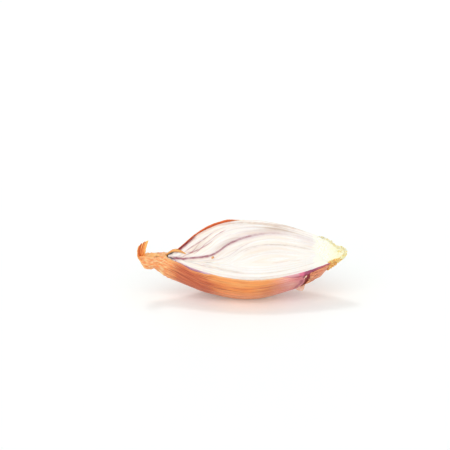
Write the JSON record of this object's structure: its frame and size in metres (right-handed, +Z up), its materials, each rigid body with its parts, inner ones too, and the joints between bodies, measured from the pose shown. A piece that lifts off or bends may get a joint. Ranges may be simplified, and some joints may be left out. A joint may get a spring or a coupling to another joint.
{
  "type": "shallot half",
  "caption": "Long shallot cut in half lengthwise, lying on its rounded back with the cut face up, showing its dry skin, fleshy scales, heart and root plate.",
  "frame": {"origin": "middle of the underside of the half's bounding box, on the surface it rests on", "axes": "+X along the bulb from the dry neck to the root end, +Z up, cut face up and leaning towards -Y"},
  "size_m": [0.0866, 0.0408, 0.0275],
  "materials": {
    "dry_skin": "satin",
    "purple_tunic": "satin",
    "white_flesh": "satin",
    "cream_flesh": "satin",
    "root_flesh": "matte",
    "dried_neck": "matte"
  },
  "bodies": {
    "root": {"outer_skin": "dry_skin", "root_end_skin": "dry_skin", "purple_tunic": "purple_tunic", "outer_scale": "white_flesh", "side_scale": "white_flesh", "side_core": "white_flesh", "main_scale_1": "white_flesh", "main_scale_2": "white_flesh", "main_scale_3": "cream_flesh", "heart": "cream_flesh", "neck_core": "dried_neck", "root_plate": "root_flesh"}
  },
  "joints": []
}
